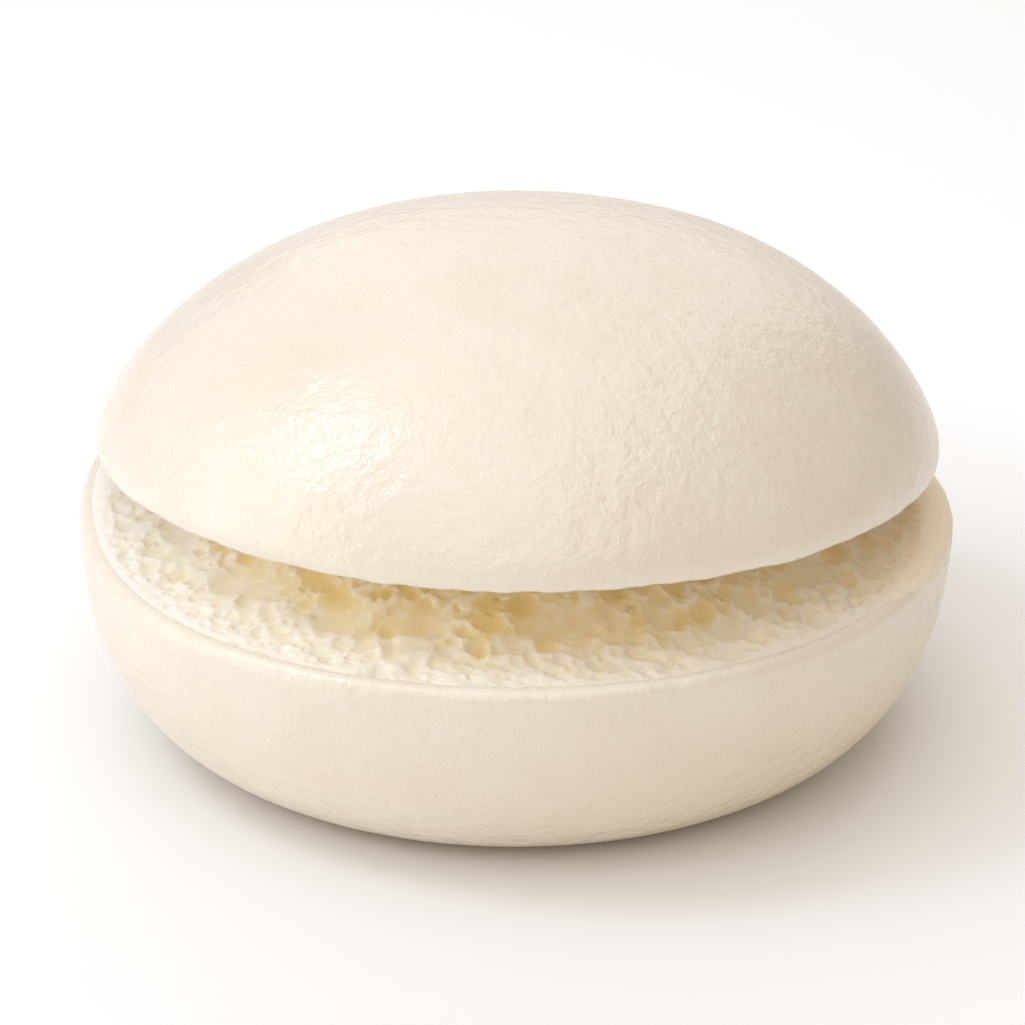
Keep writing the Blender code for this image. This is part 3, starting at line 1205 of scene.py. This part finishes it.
@dataclass(frozen=True)
class Lid:
    """The lid: a wrinkled dome over torn crumb, tilted up a little at the open front.

    Its own frame has the cut at height 0. Pairs under inside are radii and heights of the skin's inner face.
    """

    radius: float = 45.95 * MM
    height: float = 25.0 * MM
    powers: tuple[float, float] = (2.24, 1.56)
    place: tuple[float, float, float] = (0.25 * MM, 1.0 * MM, 31.1 * MM)
    tilt: float = 1.6
    roll: float = 0.4
    lean: float = 0.4 * MM
    pole_turn: float = 0.01
    edge_radius: float = 0.8 * MM
    edge_bends: Span = (20.0, 90.0)
    curl: float = 0.6 * MM
    curl_height: float = 2.4 * MM
    edge_swells: tuple[Swell, ...] = (Swell(-54.0, 26.0, 0.6 * MM), Swell(76.0, 16.0, -0.3 * MM))
    swell: float = 0.28 * MM
    swell_size: float = 24.0 * MM
    ragged: float = 0.2 * MM
    ragged_size: float = 5.0 * MM
    fine_ragged: float = 0.7
    fine_ragged_size: float = 1.6 * MM
    fine_shift: float = 0.05
    ragged_by: float = 1.8 * MM
    wrinkled_by: float = 2.0 * MM
    inside: tuple[Span, ...] = (
        (43.9 * MM, 0.0),
        (43.7 * MM, 0.7 * MM),
        (43.6 * MM, 1.6 * MM),
        (30.0 * MM, 1.7 * MM),
        (15.0 * MM, 1.7 * MM),
        (2.0 * MM, 1.7 * MM),
    )
    segments: int = 540
    spacing: float = 0.42 * MM
    ledge_width: float = 1.5 * MM
    core_radius: float = 33.0 * MM
    core_drop: float = 2.6 * MM
    drop_power: float = 1.2
    tuck: float = 0.15 * MM
    tuck_by: float = 0.4 * MM
    face_margin: float = 0.2 * MM
    closed_band: float = 0.3 * MM
    opening_width: float = 1.2 * MM
    crumb_margin: float = 0.1 * MM
    crumb_floor: float = -2.2 * MM
    crumb_room: float = 0.8 * MM
    seed: float = 0.41

    def matrix(self) -> Matrix:
        """Place of the lid on the base."""
        roll, tilt = math.radians(self.roll), math.radians(-self.tilt)
        return Matrix.Translation(self.place) @ Matrix.Rotation(roll, 4, "Y") @ Matrix.Rotation(tilt, 4, "X")

    def cut_plane(self, x: np.ndarray, y: np.ndarray, drop: float) -> np.ndarray:
        """Height of the plane that lies a distance under the lid's cut.

        Args:
            x: The places' x.
            y: The places' y.
            drop: The distance.

        Returns:
            A height for each place.
        """
        normal = self.matrix().to_3x3() @ Vector((0.0, 0.0, 1.0))
        over = self.place[2] - (normal.x * (x - self.place[0]) + normal.y * (y - self.place[1])) / normal.z
        return over - drop / normal.z

    def _profile(self) -> np.ndarray:
        """Draws the dome's profile in the lid's own frame.

        Returns:
            Pairs of radius and height, from the top of the dome down to the cut.
        """
        lowest = math.asin((self.edge_radius / self.height) ** (self.powers[1] / 2.0))
        across, up = quarter(self.powers, 0.5 * math.pi - self.pole_turn, lowest)
        bends = np.radians(np.linspace(*self.edge_bends, BEND_STEPS))
        radii = np.append(self.radius * across, self.radius - self.edge_radius * (1.0 - np.cos(bends)))
        heights = np.append(self.height * up, self.edge_radius * (1.0 - np.sin(bends)))
        return spaced(list(zip(radii, heights)), self.spacing)

    def _edge(self, azimuth: np.ndarray) -> np.ndarray:
        """How ragged the cut edge is at each azimuth, up or down."""
        ring = np.stack([np.sin(azimuth), np.cos(azimuth), np.zeros_like(azimuth)], axis=-1) * self.radius
        fine = unevenness(ring + self.fine_shift, self.fine_ragged_size, self.fine_ragged * self.ragged)
        return unevenness(ring, self.ragged_size, self.ragged) + fine

    def skin(self, material: bpy.types.Material) -> bpy.types.Object:
        """Builds the lid's skin.

        Args:
            material: Its finish.

        Returns:
            The finished piece.
        """
        # The inner face starts further out by the curl, which draws it in again.
        profile = np.concatenate((self._profile(), np.array(self.inside) + [[self.curl, 0.0]]))
        radius, height, azimuth = carried_round(profile, self.segments)
        radius = radius - self.curl * np.clip(1.0 - height / self.curl_height, 0.0, 1.0) ** 2
        x, y = on_plan(radius, azimuth)
        rise = height / self.height
        swell = unevenness(np.stack([x, y, height + self.height], axis=-1), self.swell_size, self.swell)
        grow = 1.0 + swell * (1.0 - rise) / self.radius
        lift = swell * rise + total_swell(self.edge_swells, azimuth) * (1.0 - rise) ** 4
        lift = lift + self._edge(azimuth) * np.clip(1.0 - height / self.ragged_by, 0.0, 1.0)
        rings = np.stack([x * grow + self.lean * rise ** 2, y * grow, height + lift], axis=-1)
        mask = np.clip(profile[:, 1] / self.wrinkled_by, 0.0, 1.0)
        mask[-len(self.inside):] = 0.0
        piece = add_object("lid_skin", turned_mesh("lid_skin", rings[::-1], {RELIEF: mask[::-1]}))
        piece.data.transform(self.matrix())
        SkinRelief().apply(piece, material)
        return piece

    def crumb(self, material: bpy.types.Material) -> bpy.types.Object:
        """Builds the lid's torn crumb upside down, and turns it over.

        Args:
            material: Its finish.

        Returns:
            The finished piece.
        """
        rim = self.radius - self.curl - self.edge_radius
        inner = rim - self.ledge_width

        def height_at(radius: np.ndarray, x: np.ndarray, y: np.ndarray) -> np.ndarray:
            """Height of the upturned face at each radius, x and y."""
            inward = np.clip((inner - radius) / (inner - self.core_radius), 0.0, 1.0)
            swell = total_swell(self.edge_swells, np.arctan2(x, y)) * (1.0 - inward)
            tucked = self.tuck * np.clip((radius - rim + self.tuck_by) / self.tuck_by, 0.0, 2.0)
            return self.core_drop * inward ** self.drop_power - swell - tucked

        face = TornFace(
            outer=rim + self.face_margin,
            core=self.core_radius,
            height_at=height_at,
            closed_until=lambda azimuth: np.full_like(azimuth, rim - self.closed_band),
            opening_width=self.opening_width,
        )
        piece = add_object("lid_crumb", face.mesh("lid_crumb"))
        top = self.core_drop + self.crumb_room
        Foam(seed=self.seed).apply(piece, rim + self.crumb_margin, self.crumb_floor, top, material)
        piece.data.transform(self.matrix() @ Matrix.Rotation(math.pi, 4, "X"))
        return piece


@dataclass(frozen=True)
class Base:
    """The base: a full flat-footed cup of skin, a rounded lip, and the torn crumb that it holds.

    Pairs under inside are radii of the skin past its lip and drops from the crest, and pairs under floor are
    radii and heights of the skin's floor under the crumb. Where the base is bared, on the right, the crumb
    laps out over the lip.
    """

    radius: float = 47.5 * MM
    foot_radius: float = 31.6 * MM
    foot_shares: tuple[float, ...] = (0.04, 0.2, 0.4, 0.6, 0.75, 0.88, 0.97)
    wall_height: float = 22.2 * MM
    powers: tuple[float, float] = (1.97, 2.12)
    lip_width: float = 1.3 * MM
    lip_height: float = 1.3 * MM
    lip_bends: Span = (6.0, 90.0)
    lip_swells: tuple[Swell, ...] = (Swell(-103.0, 32.0, 3.0 * MM), Swell(97.0, 34.0, 0.9 * MM))
    inside: tuple[Span, ...] = ((45.9 * MM, 0.02 * MM), (45.6 * MM, 0.12 * MM), (45.4 * MM, 0.6 * MM))
    floor: tuple[Span, ...] = (
        (45.3 * MM, 20.4 * MM),
        (30.0 * MM, 20.4 * MM),
        (15.0 * MM, 20.4 * MM),
        (2.0 * MM, 20.4 * MM),
    )
    swell: float = 0.28 * MM
    swell_size: float = 24.0 * MM
    smooth_foot: float = 0.3 * MM
    wrinkled_by: float = 3.0 * MM
    smooth_lip: float = 1.0 * MM
    lip_relief: float = 0.25
    segments: int = 560
    spacing: float = 0.42 * MM
    ledge_width: float = 2.0 * MM
    ledge_rise: float = 0.5 * MM
    rise_power: float = 1.6
    core_radius: float = 33.0 * MM
    core_gap: float = 0.3 * MM
    tears: tuple[Hollow, ...] = hollow_set(
        0.75,
        (-68.0, 38.0, 4.0, 2.2, 0.8), (-44.0, 37.0, 5.0, 2.6, 1.0), (-27.0, 38.5, 3.6, 2.0, 0.8),
        (-15.0, 37.5, 4.0, 2.0, 0.8), (7.0, 37.0, 4.8, 2.3, 1.1), (31.0, 41.0, 3.6, 1.7, 0.6),
        (52.0, 38.0, 4.2, 2.2, 0.9), (78.0, 38.0, 4.0, 2.2, 0.8),
    )
    open_cells: tuple[Hollow, ...] = hollow_set(
        0.5,
        (-74.0, 42.1, 1.0, 1.6, 0.7), (-67.0, 44.1, 0.6, 0.7, 0.6), (-24.0, 44.2, 0.65, 0.8, 0.8),
        (-9.0, 40.8, 0.9, 1.1, 0.7), (0.0, 39.3, 1.2, 1.2, 0.8), (15.0, 36.8, 1.4, 1.8, 0.9),
        (22.0, 37.2, 1.5, 2.0, 0.9), (24.0, 41.4, 1.2, 1.4, 0.7), (28.0, 43.9, 2.2, 1.3, 0.7),
        (33.5, 42.6, 0.95, 1.4, 0.9), (37.0, 43.7, 0.9, 0.9, 0.8), (37.0, 37.9, 1.1, 2.0, 1.1),
        (44.0, 44.0, 0.9, 0.8, 0.8), (48.0, 43.3, 0.8, 1.0, 0.9), (52.0, 43.5, 0.8, 1.0, 0.9),
        (54.0, 36.6, 1.0, 1.4, 0.9), (56.0, 44.0, 0.6, 0.8, 0.7), (63.0, 41.1, 1.3, 1.8, 1.0),
        (67.0, 38.1, 1.0, 1.7, 0.9), (74.0, 40.7, 1.0, 1.4, 0.9), (79.0, 41.4, 1.2, 1.4, 0.9),
    )
    closed_band: float = 0.2 * MM
    dense_bands: tuple[Swell, ...] = (Swell(70.0, 50.0, 1.1 * MM), Swell(-95.0, 35.0, 1.5 * MM))
    opening_width: float = 0.8 * MM
    bared: Swell = Swell(90.0, 34.0, 1.0)
    bare_from: float = 21.5 * MM
    bare_flare: float = 0.68 * MM
    bare_levels: Span = (0.2, 0.7)
    lap: Span = (-0.3 * MM, 1.9 * MM)
    lap_by: float = 0.4 * MM
    lap_rise: float = 0.4 * MM
    tuck: float = 0.15 * MM
    tuck_from: float = 0.2 * MM
    tuck_by: float = 0.4 * MM
    steepest: float = 0.97
    face_margin: float = 1.5 * MM
    crumb_margin: float = 0.75 * MM
    crumb_floor: float = 20.0 * MM
    crumb_top: float = 30.6 * MM
    seed: float = 0.17

    def _profile(self) -> np.ndarray:
        """Draws the profile of the wall and lip.

        Returns:
            Pairs of radius and height, from the foot's edge up the wall and over the lip.
        """
        across, up = quarter(self.powers, 0.5 * math.pi, 0.0)
        bends = np.radians(np.linspace(*self.lip_bends, BEND_STEPS))
        wall_radii = self.foot_radius + (self.radius - self.foot_radius) * across
        radii = np.append(wall_radii, self.radius - self.lip_width * (1.0 - np.cos(bends)))
        lip_highlight_heights = self.wall_height + self.lip_height * np.sin(bends)
        heights = np.append(self.wall_height * (1.0 - up), lip_highlight_heights)
        return spaced(list(zip(radii, np.clip(heights, 0.0, None))), self.spacing)

    def skin(self, material: bpy.types.Material) -> bpy.types.Object:
        """Builds the base's skin, from the middle of the foot to inside the lip, closed under the crumb.

        Args:
            material: Its finish.

        Returns:
            The finished piece.
        """
        crest = self.wall_height + self.lip_height
        foot = [(share * self.foot_radius, 0.0) for share in self.foot_shares]
        inside = [(radius, crest - drop) for radius, drop in self.inside]
        profile = np.concatenate((foot, self._profile(), inside))
        radius, height, azimuth = carried_round(profile, self.segments)
        x, y = on_plan(radius, azimuth)
        share = height / self.wall_height
        swell = unevenness(np.stack([x, y, height], axis=-1), self.swell_size, self.swell)
        grow = 1.0 + swell * np.clip(share, 0.0, 1.0) / np.maximum(radius, self.foot_radius)
        lift = total_swell(self.lip_swells, azimuth) * share ** 4
        rings = np.stack([x * grow, y * grow, height + lift], axis=-1)
        radius, height, azimuth = carried_round(np.array(self.floor), self.segments)
        rings = np.concatenate((rings, np.stack([*on_plan(radius, azimuth), height], axis=-1)))
        mask = np.clip((profile[:, 1] - self.smooth_foot) / self.wrinkled_by, 0.0, 1.0)
        mask = mask * np.clip((crest - profile[:, 1]) / self.smooth_lip, self.lip_relief, 1.0)
        mask[-len(inside):] = 0.0
        mask = np.append(mask, np.zeros(len(self.floor)))
        piece = add_object("base_skin", turned_mesh("base_skin", rings, {RELIEF: mask}))
        SkinRelief().apply(piece, material)
        return piece

    def crumb(self, lid: Lid, material: bpy.types.Material) -> bpy.types.Object:
        """Builds the base's torn crumb.

        Args:
            lid: The lid, whose cut the core lies just under.
            material: The crumb's finish.

        Returns:
            The finished piece.
        """
        rim = self.radius - self.lip_width
        inner = rim - self.ledge_width
        crest = self.wall_height + self.lip_height

        def tucked(azimuth: np.ndarray, past: np.ndarray) -> np.ndarray:
            """Drop of the face at each azimuth and distance past the rim, along or over the rounded lip."""
            over_lip = np.clip(past / self.lip_width, 0.0, self.steepest)
            rounded = self.lip_height * (1.0 - np.sqrt(1.0 - over_lip ** 2))
            low, high = self.bare_levels
            bared = np.clip((self.bared.at(azimuth) - low) / (high - low), 0.0, 1.0)
            reach_out = self.lap[0] + (self.lap[1] - self.lap[0]) * bared
            bare = np.clip((reach_out - past) / self.lap_by, 0.0, 1.0)
            tuck = self.tuck - self.lap_rise * bare
            return rounded + tuck * np.clip((past + self.tuck_from) / self.tuck_by, 0.0, 1.0)

        def height_at(radius: np.ndarray, x: np.ndarray, y: np.ndarray) -> np.ndarray:
            """Height of the face at each radius, x and y."""
            azimuth = np.arctan2(x, -y)
            inward = np.clip((inner - radius) / (inner - self.core_radius), 0.0, 1.0)
            along = np.clip((rim - radius) / self.ledge_width, 0.0, 1.0)
            swell = total_swell(self.lip_swells, azimuth) * (crest / self.wall_height) ** 4
            ledge = crest + swell + self.ledge_rise * along
            core = lid.cut_plane(x, y, lid.core_drop + self.core_gap)
            return ledge + (core - ledge) * inward ** self.rise_power - tucked(azimuth, radius - rim)

        face = TornFace(
            outer=rim + self.face_margin,
            core=self.core_radius,
            height_at=height_at,
            closed_until=lambda azimuth: rim - self.closed_band - total_swell(self.dense_bands, azimuth),
            opening_width=self.opening_width,
            flare=lambda azimuth: self.bare_flare * self.bared.at(azimuth),
            hollows=self.tears + self.open_cells,
        )
        piece = add_object("base_crumb", face.mesh("base_crumb"))
        foam = Foam(seed=self.seed, flare_from=self.bare_from)
        foam.apply(piece, rim + self.crumb_margin, self.crumb_floor, self.crumb_top, material)
        return piece


def add_facing(
    name: str, data: bpy.types.ID, target: Sequence[float], way: Vector, distance: float
) -> bpy.types.Object:
    """Adds a light or camera that faces a point.

    Args:
        name: Its name.
        data: The light or camera.
        target: The point.
        way: Direction from the point to it, of length 1.
        distance: Distance from the point.

    Returns:
        The object.
    """
    added = add_object(name, data)
    added.location = Vector(target) + way * distance
    added.rotation_euler = way.to_track_quat("Z", "Y").to_euler()
    return added


@dataclass(frozen=True)
class SoftLight:
    """A square soft light that faces the bun from a direction."""

    name: str
    towards: tuple[float, float, float]
    distance: float
    size: float
    power: float
    colour: tuple[float, float, float] = (1.0, 1.0, 1.0)

    def hang(self, target: Sequence[float]) -> bpy.types.Object:
        """Adds the light.

        Args:
            target: The point that it faces.

        Returns:
            The light's object.
        """
        data = bpy.data.lights.new(self.name, "AREA")
        data.shape = "SQUARE"
        data.size = self.size
        data.energy = self.power
        data.color = self.colour
        return add_facing(self.name, data, target, Vector(self.towards).normalized(), self.distance)


@dataclass(frozen=True)
class Studio:
    """White studio: a pale glowing floor and soft lights, the strongest of them low and high on the left."""

    floor_side: float = 3.0
    floor_colour: Colour = (0.93, 0.925, 0.92, 1.0)
    floor_roughness: float = 0.9
    floor_sheen_level: float = 0.1
    floor_glow: tuple[float, float, float] = (0.17, 0.18, 0.19)
    glow_reach: Slope = (50.0 * MM, 140.0 * MM, 0.12, 1.0)
    surroundings: Colour = (1.0, 0.875, 0.75, 1.0)
    surroundings_strength: float = 0.295
    soft_lights: tuple[SoftLight, ...] = (
        SoftLight("key_light", (-0.57, -0.08, 0.81), 0.55, 0.14, 0.55, (0.72, 0.83, 1.0)),
        SoftLight("left_light", (-0.93, -0.23, 0.28), 0.6, 0.6, 1.73, (0.90, 0.935, 1.0)),
        SoftLight("front_light", (0.0, -0.70, 0.70), 0.6, 0.5, 0.87, (1.0, 0.98, 0.95)),
        SoftLight("right_light", (0.95, -0.40, 0.25), 0.6, 0.5, 0.06, (1.0, 0.6, 0.3)),
        SoftLight("top_light", (0.0, 0.0, 1.0), 0.6, 0.6, 1.31),
        SoftLight("back_light", (0.10, 0.83, 0.53), 0.6, 0.6, 0.80),
        SoftLight("back_left_light", (-0.6, 0.7, 0.35), 0.6, 0.4, 0.17, (0.75, 0.87, 1.0)),
    )
    target: tuple[float, float, float] = (-0.335 * MM, 0.0, 22.442 * MM)
    elevation: float = 22.44
    distance: float = 310.0 * MM
    lens: float = 98.9
    sensor_width: float = 36.0
    nearest: float = 0.01

    def floor(self) -> bpy.types.Object:
        """Lays the floor under the bun.

        Returns:
            The floor.
        """
        side = self.floor_side
        mesh = bpy.data.meshes.new("studio_floor")
        corners = [(-side, -side, 0.0), (side, -side, 0.0), (side, side, 0.0), (-side, side, 0.0)]
        mesh.from_pydata(corners, [], [(0, 1, 2, 3)])
        material, graph = new_finish("studio_floor_matt")
        place = graph.node("ShaderNodeTexCoord", output="Object")
        glow = graph.ramp(graph.reach(place), *self.glow_reach)
        values = {
            "Base Color": self.floor_colour,
            "Roughness": self.floor_roughness,
            "Specular IOR Level": self.floor_sheen_level,
            "Emission Color": graph.vector("SCALE", self.floor_glow, scale=glow),
            "Emission Strength": 1.0,
        }
        shader = graph.node("ShaderNodeBsdfPrincipled", None, values)
        graph.node("ShaderNodeOutputMaterial", None, {"Surface": shader})
        mesh.materials.append(material)
        return add_object("studio_floor", mesh)

    def lights(self) -> None:
        """Lights the surroundings and hangs the soft lights."""
        world = bpy.data.worlds.new("studio_surroundings")
        world.use_nodes = True
        graph = Graph(world.node_tree)
        values = {"Color": self.surroundings, "Strength": self.surroundings_strength}
        glow = graph.node("ShaderNodeBackground", None, values)
        graph.node("ShaderNodeOutputWorld", None, {"Surface": glow})
        bpy.context.scene.world = world
        for light in self.soft_lights:
            light.hang(self.target)

    def camera(self) -> None:
        """Sets up the camera, in front and a little above."""
        data = bpy.data.cameras.new("studio_camera")
        data.lens = self.lens
        data.sensor_width = self.sensor_width
        data.clip_start = self.nearest
        turn = math.radians(self.elevation)
        back = Vector((0.0, -math.cos(turn), math.sin(turn)))
        scene = bpy.context.scene
        scene.camera = add_facing("studio_camera", data, self.target, back, self.distance)
        scene.view_settings.view_transform = "Standard"


def hand_over(piece: bpy.types.Object, half: Half) -> None:
    """Ties a finished piece to the part, and reports it.

    Args:
        piece: The piece.
        half: The solid that it stands for.
    """
    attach(piece, "root")
    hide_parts(half.value)
    piece.data.calc_loop_triangles()
    LOG.info("%s: %d triangles", piece.name, len(piece.data.loop_triangles))


def finishes() -> tuple[SkinFinish, CrumbFinish]:
    """Mixes the colours of the bun's two finishes.

    Returns:
        The finishes of the skin and of the crumb.
    """
    skin = SkinFinish(
        "steamed_skin",
        colour=(0.90, 0.815, 0.695, 1.0),
        mottle=(0.885, 0.79, 0.655, 1.0),
        # lip is a painted highlight along the rim
        lip=(1.03, 1.06, 1.10, 1.0),
        # low is painted shade low on the right of the base
        low=(0.955, 0.925, 0.825, 1.0),
        # foot is painted contact shade, with some browning where the bun sat
        foot=(0.78, 0.60, 0.36, 1.0),
    )
    crumb = CrumbFinish(
        "torn_crumb",
        ridge=(0.995, 0.912, 0.805, 1.0),
        # cup and deep are painted shade on the cells' floors and in the deeper crumb
        cup=(0.985, 0.89, 0.735, 1.0),
        deep=(0.94, 0.785, 0.48, 1.0),
        # moist is painted shade under the lid's edge
        lid_shade_tint=(1.0, 0.95, 0.80, 1.0),
        # aged is painted shade on the right side
        right_shade=(0.985, 0.915, 0.80, 1.0),
        # pale is painted light on the left side
        pale=(1.01, 1.03, 1.065, 1.0),
    )
    return skin, crumb


def main() -> None:
    """Builds the bun, the floor, the lights and the camera."""
    logging.basicConfig(level=logging.INFO, format="%(name)s %(message)s")
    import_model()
    skin, crumb = finishes()
    skin_material, crumb_material = skin.make(), crumb.make()
    lid, base = Lid(), Base()
    hand_over(base.skin(skin_material), Half.BASE)
    hand_over(base.crumb(lid, crumb_material), Half.BASE)
    hand_over(lid.skin(skin_material), Half.LID)
    hand_over(lid.crumb(crumb_material), Half.LID)
    studio = Studio()
    studio.floor()
    studio.lights()
    studio.camera()


if __name__ == "__main__":
    main()
